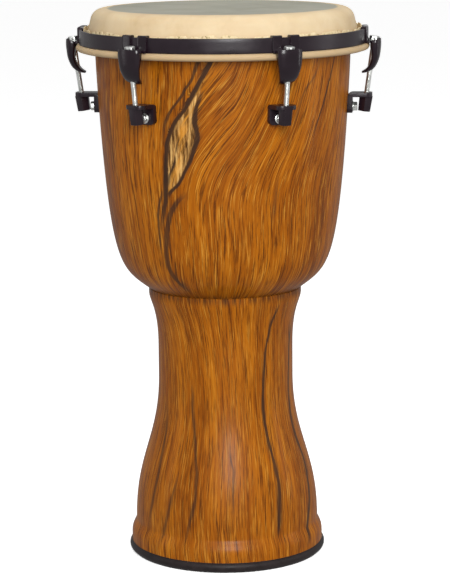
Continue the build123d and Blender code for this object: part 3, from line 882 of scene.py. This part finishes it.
cast_black = black_finish("cast_black", (0.0115, 0.0050, 0.0090), 0.20, 700, 0.0004, 0.3)
for number, angle in enumerate(lug_angles, 1):
    claw = placed(claw_mesh(f"claw_{number}_body"), f"hook_claw_{number}", angle)
    softened(claw, 0.0005)
    claw.data.materials.append(cast_black.material)
    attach(claw, "hoop")
    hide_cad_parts(f"claw_{number}")

# ---------------------------------------------------------------------------
# Tension bolts. Zinc-plated hexagon bolts, M6 with a 1 mm pitch: plain under
# the head and rolled thread below it, down through the bracket into the nut.
# ---------------------------------------------------------------------------
thread = bpy.data.node_groups.new("rolled_thread", "GeometryNodeTree")
rod_sizes = {"Radius": 0.003, "Pitch": 0.001, "Depth": 0.00032, "Plain length": 0.036, "Length": 0.0748}
for label in rod_sizes:
    thread.interface.new_socket(name=label, in_out="INPUT", socket_type="NodeSocketFloat")
thread.interface.new_socket(name="Finish", in_out="INPUT", socket_type="NodeSocketMaterial")
thread.interface.new_socket(name="Geometry", in_out="OUTPUT", socket_type="NodeSocketGeometry")
tn, tl = thread.nodes, thread.links
given = tn.new("NodeGroupInput")
rod = tn.new("GeometryNodeMeshCylinder")
rod.fill_type = "NGON"
rod.inputs["Vertices"].default_value = 28
rod.inputs["Side Segments"].default_value = 520
tl.new(given.outputs["Radius"], rod.inputs["Radius"])
tl.new(given.outputs["Length"], rod.inputs["Depth"])


def tree_sum(operation, first, second=None):
    node = tn.new("ShaderNodeMath")
    node.operation = operation
    for value, socket in zip((first, second), node.inputs):
        if isinstance(value, bpy.types.NodeSocket):
            tl.new(value, socket)
        elif value is not None:
            socket.default_value = value
    return node.outputs[0]


spot = tn.new("GeometryNodeInputPosition")
split = tn.new("ShaderNodeSeparateXYZ")
tl.new(spot.outputs[0], split.inputs[0])
below = tree_sum("SUBTRACT", tree_sum("MULTIPLY", given.outputs["Length"], 0.5), split.outputs[2])
round_turn = tree_sum("DIVIDE", tree_sum("ARCTAN2", split.outputs[1], split.outputs[0]), 2 * pi)
phase = tree_sum("FRACT", tree_sum("ADD", tree_sum("DIVIDE", below, given.outputs["Pitch"]), round_turn))
groove = tree_sum("ABSOLUTE", tree_sum("SUBTRACT", phase, 0.5))
groove = tree_sum("MULTIPLY", tree_sum("SUBTRACT", 0.5, groove), 2.0)
threaded = tree_sum("GREATER_THAN", below, given.outputs["Plain length"])
past_end = tree_sum("SUBTRACT", tree_sum("ADD", below, 0.0008), given.outputs["Length"])
tip = tree_sum("MAXIMUM", past_end, 0.0)
dug = tree_sum("MULTIPLY", groove, given.outputs["Depth"])
cut = tree_sum("ADD", tree_sum("MULTIPLY", dug, threaded), tip)
shrink = tree_sum("SUBTRACT", 1.0, tree_sum("DIVIDE", cut, given.outputs["Radius"]))
place_xyz = tn.new("ShaderNodeCombineXYZ")
tl.new(tree_sum("MULTIPLY", split.outputs[0], shrink), place_xyz.inputs[0])
tl.new(tree_sum("MULTIPLY", split.outputs[1], shrink), place_xyz.inputs[1])
tl.new(tree_sum("MULTIPLY", below, -1.0), place_xyz.inputs[2])
put = tn.new("GeometryNodeSetPosition")
tl.new(rod.outputs["Mesh"], put.inputs["Geometry"])
tl.new(place_xyz.outputs[0], put.inputs["Position"])
real = tn.new("GeometryNodeRealizeInstances")
tl.new(put.outputs[0], real.inputs[0])
coat_node = tn.new("GeometryNodeSetMaterial")
tl.new(real.outputs[0], coat_node.inputs["Geometry"])
tl.new(given.outputs["Finish"], coat_node.inputs["Material"])
result = tn.new("NodeGroupOutput")
tl.new(coat_node.outputs[0], result.inputs[0])

zinc = Recipe("bright_zinc")
zinc_place = zinc.add("ShaderNodeTexCoord").outputs["Object"]
zinc_cloud = zinc.noise(zinc_place, 160, 4.0, 0.6)
zinc_fine = zinc.noise(zinc.scaled(zinc_place, (1, 1, 6)), 700, 2.0, 0.5)
zinc.set(
    Base_Color=zinc.tone(zinc_cloud, (0.3, (0.66, 0.68, 0.65)), (0.7, (0.84, 0.85, 0.82))),
    Metallic=1.0,
    Roughness=zinc.spread(zinc_cloud, 0.3, 0.7, 0.34, 0.44),
    Normal=zinc.bump(zinc_fine, 0.10, 0.0003),
)


def inputs_of(tree):
    return {s.name: s.identifier for s in tree.interface.items_tree if s.in_out == "INPUT"}


round_steps = 48


def circle(bm, radius, z):
    turns = [2 * pi * k / round_steps for k in range(round_steps)]
    return [bm.verts.new((radius * cos(t), radius * sin(t), z)) for t in turns]


def hexagon_head(bm, flats, low, high, chamfer, start=0.0):
    """A hexagon head with a turned top and a slight washer face below."""
    corner = flats / 2 / cos(pi / 6)
    loops = []
    for z, cap in (
        (low, flats / 2 * 0.97),
        (low + 0.0003, corner),
        (high - chamfer * 1.2, corner),
        (high - chamfer * 0.45, (corner + flats / 2 * 0.95) / 2 + 0.0002),
        (high, flats / 2 * 0.93),
    ):
        loop = []
        for k in range(round_steps):
            a = start + 2 * pi * k / round_steps
            local = (a - start) % (pi / 3) - pi / 6
            hexagon = flats / 2 / cos(local)
            r = min(hexagon, cap)
            loop.append(bm.verts.new((r * cos(a), r * sin(a), z)))
        loops.append(loop)
    loops.append(circle(bm, flats * 0.30, high - 0.0004))
    for a, b in zip(loops, loops[1:]):
        bridge(bm, a, b)
    bm.faces.new(loops[0][::-1])
    bm.faces.new(loops[-1])


def lug_matrix(angle, down=0.0):
    """From a bolt's own frame, with its seat at the origin, to its place at this lug."""
    return (
        Matrix.Rotation(angle, 4, "Z")
        @ Matrix.Translation((seat_r, 0, seat_z))
        @ Matrix.Rotation(lean, 4, "Y")
        @ Matrix.Translation((0, 0, -down))
    )


carrier_mesh = bpy.data.meshes.new("thread_carrier")
carrier = bpy.data.objects.new("thread_carrier", carrier_mesh)
scene.collection.objects.link(carrier)
maker = carrier.modifiers.new("thread", "NODES")
maker.node_group = thread
names = inputs_of(thread)
for label, value in rod_sizes.items():
    maker[names[label]] = value
maker[names["Finish"]] = zinc.material
rod_mesh = bpy.data.meshes.new_from_object(carrier.evaluated_get(bpy.context.evaluated_depsgraph_get()))
carrier.modifiers.remove(maker)
bpy.data.objects.remove(carrier)

for number, angle in enumerate(lug_angles, 1):
    bm = bmesh.new()
    bm.from_mesh(rod_mesh)
    for v in bm.verts:
        v.co.z += 0.0012
    hexagon_head(bm, 0.010, 0.0012, 0.0060, 0.0006)
    bmesh.ops.recalc_face_normals(bm, faces=bm.faces)
    mesh = finished_mesh(bm, f"bolt_{number}_body")
    mesh.materials.clear()
    mesh.materials.append(zinc.material)
    mesh.transform(lug_matrix(0))
    bolt = placed(mesh, f"hex_bolt_{number}", angle)
    smooth_shaded(mesh, 38)
    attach(bolt, f"bolt_{number}")
    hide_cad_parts(f"tension_bolt_{number}")

# ---------------------------------------------------------------------------
# Bolt washers. Plain stamped rings, zinc plated, loose between each claw's
# seat and the bolt's head, so the head turns on them and not on the paint.
# ---------------------------------------------------------------------------
for number, angle in enumerate(lug_angles, 1):
    washer_outline = (
        [(0.0032, 0.00005), (0.0061, 0.00005), (0.0063, 0.0003), (0.0063, 0.0009), (0.0060, 0.0012)]
        + [(0.0034, 0.0012), (0.0032, 0.0010)]
    )
    washer = turned(f"plain_washer_{number}", washer_outline, around=48, sharp=35)
    washer.data.transform(lug_matrix(angle))
    washer.data.materials.append(zinc.material)
    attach(washer, f"washer_{number}")
    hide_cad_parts(f"bolt_washer_{number}")


# ---------------------------------------------------------------------------
# Brackets. Bent from 4.5 mm steel and sprayed black: the back lies on the
# bowl and the shelf stands out for the bolt to pull up against.
# ---------------------------------------------------------------------------
def from_node(node, name, width, segments=3, angle=35):
    """A merged copy of a part's mesh with its sharp edges rounded."""
    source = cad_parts[node]
    bm = bmesh.new()
    bm.from_mesh(source.data)
    bmesh.ops.remove_doubles(bm, verts=bm.verts, dist=1e-6)
    bmesh.ops.dissolve_limit(bm, angle_limit=radians(1.0), verts=bm.verts, edges=bm.edges)
    return softened(linked(finished_mesh(bm, name), name), width, segments, angle)


for number in range(1, 7):
    bracket = from_node(f"bracket_{number}", f"bent_bracket_{number}", 0.0004)
    bracket.data.materials.append(black_steel.material)
    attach(bracket, "root")
    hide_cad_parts(f"bracket_{number}")

# ---------------------------------------------------------------------------
# Nut caps. Black moulded nylon, six flats with a slight taper, pushed on under
# each shelf to hold the nut and cover its sharp edges.
# ---------------------------------------------------------------------------
black_plastic = black_finish("moulded_nylon", (0.0125, 0.0055, 0.0095), 0.30, 1200, 0.0002, 0.2)
for number in range(1, 7):
    cap = from_node(f"nut_cap_{number}", f"moulded_cap_{number}", 0.0005, 3, 25)
    cap.data.materials.append(black_plastic.material)
    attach(cap, "root")
    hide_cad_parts(f"nut_cap_{number}")

# ---------------------------------------------------------------------------
# Bracket bolts. One flanged hexagon bolt through each bracket and the bowl's
# wall, zinc plated, with a wide washer and a nut inside.
# ---------------------------------------------------------------------------
fixing_z, flange_face = 0.5223, 0.14799
bm = bmesh.new()
for angle in lug_angles:
    one = bmesh.new()
    hexagon_head(one, 0.009, 0.0010, 0.0054, 0.0008, 0.2)
    flange = [(0.0052, 0.0), (0.0058, 0.0004), (0.0057, 0.0008), (0.0047, 0.0014), (0.0030, 0.0014)]
    shank = [(0.0026, -0.0164), (0.0030, -0.0160)]
    loops = [circle(one, r, z) for r, z in shank + flange]
    for a, b in zip(loops, loops[1:]):
        bridge(one, a, b)
    one.faces.new(loops[-1])
    one.faces.new(loops[0][::-1])
    bmesh.ops.recalc_face_normals(one, faces=one.faces)
    single = finished_mesh(one, "one_fixing")
    single.transform(
        Matrix.Rotation(angle, 4, "Z")
        @ Matrix.Translation((flange_face, 0, fixing_z))
        @ Matrix.Rotation(pi / 2, 4, "Y")
    )
    bm.from_mesh(single)
    bpy.data.meshes.remove(single)
fixing_mesh = finished_mesh(bm, "bracket_fixings")
smooth_shaded(fixing_mesh, 35)
fixings = linked(fixing_mesh, "bracket_fixings")
fixing_mesh.materials.append(zinc.material)
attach(fixings, "root")
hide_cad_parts("bracket_bolts")


# ---------------------------------------------------------------------------
# Hidden hardware. The nuts in the caps, and the washers and nuts inside the
# bowl, are stock zinc-plated pieces; the ring in the skin's fold is bare wire.
# ---------------------------------------------------------------------------
def give_finish(node, recipe):
    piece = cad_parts[node]
    piece.data.materials.clear()
    piece.data.materials.append(recipe.material)


for number in range(1, 7):
    give_finish(f"tension_nut_{number}", zinc)
give_finish("backing_washers", zinc)
give_finish("bracket_nuts", zinc)
give_finish("flesh_hoop", zinc)
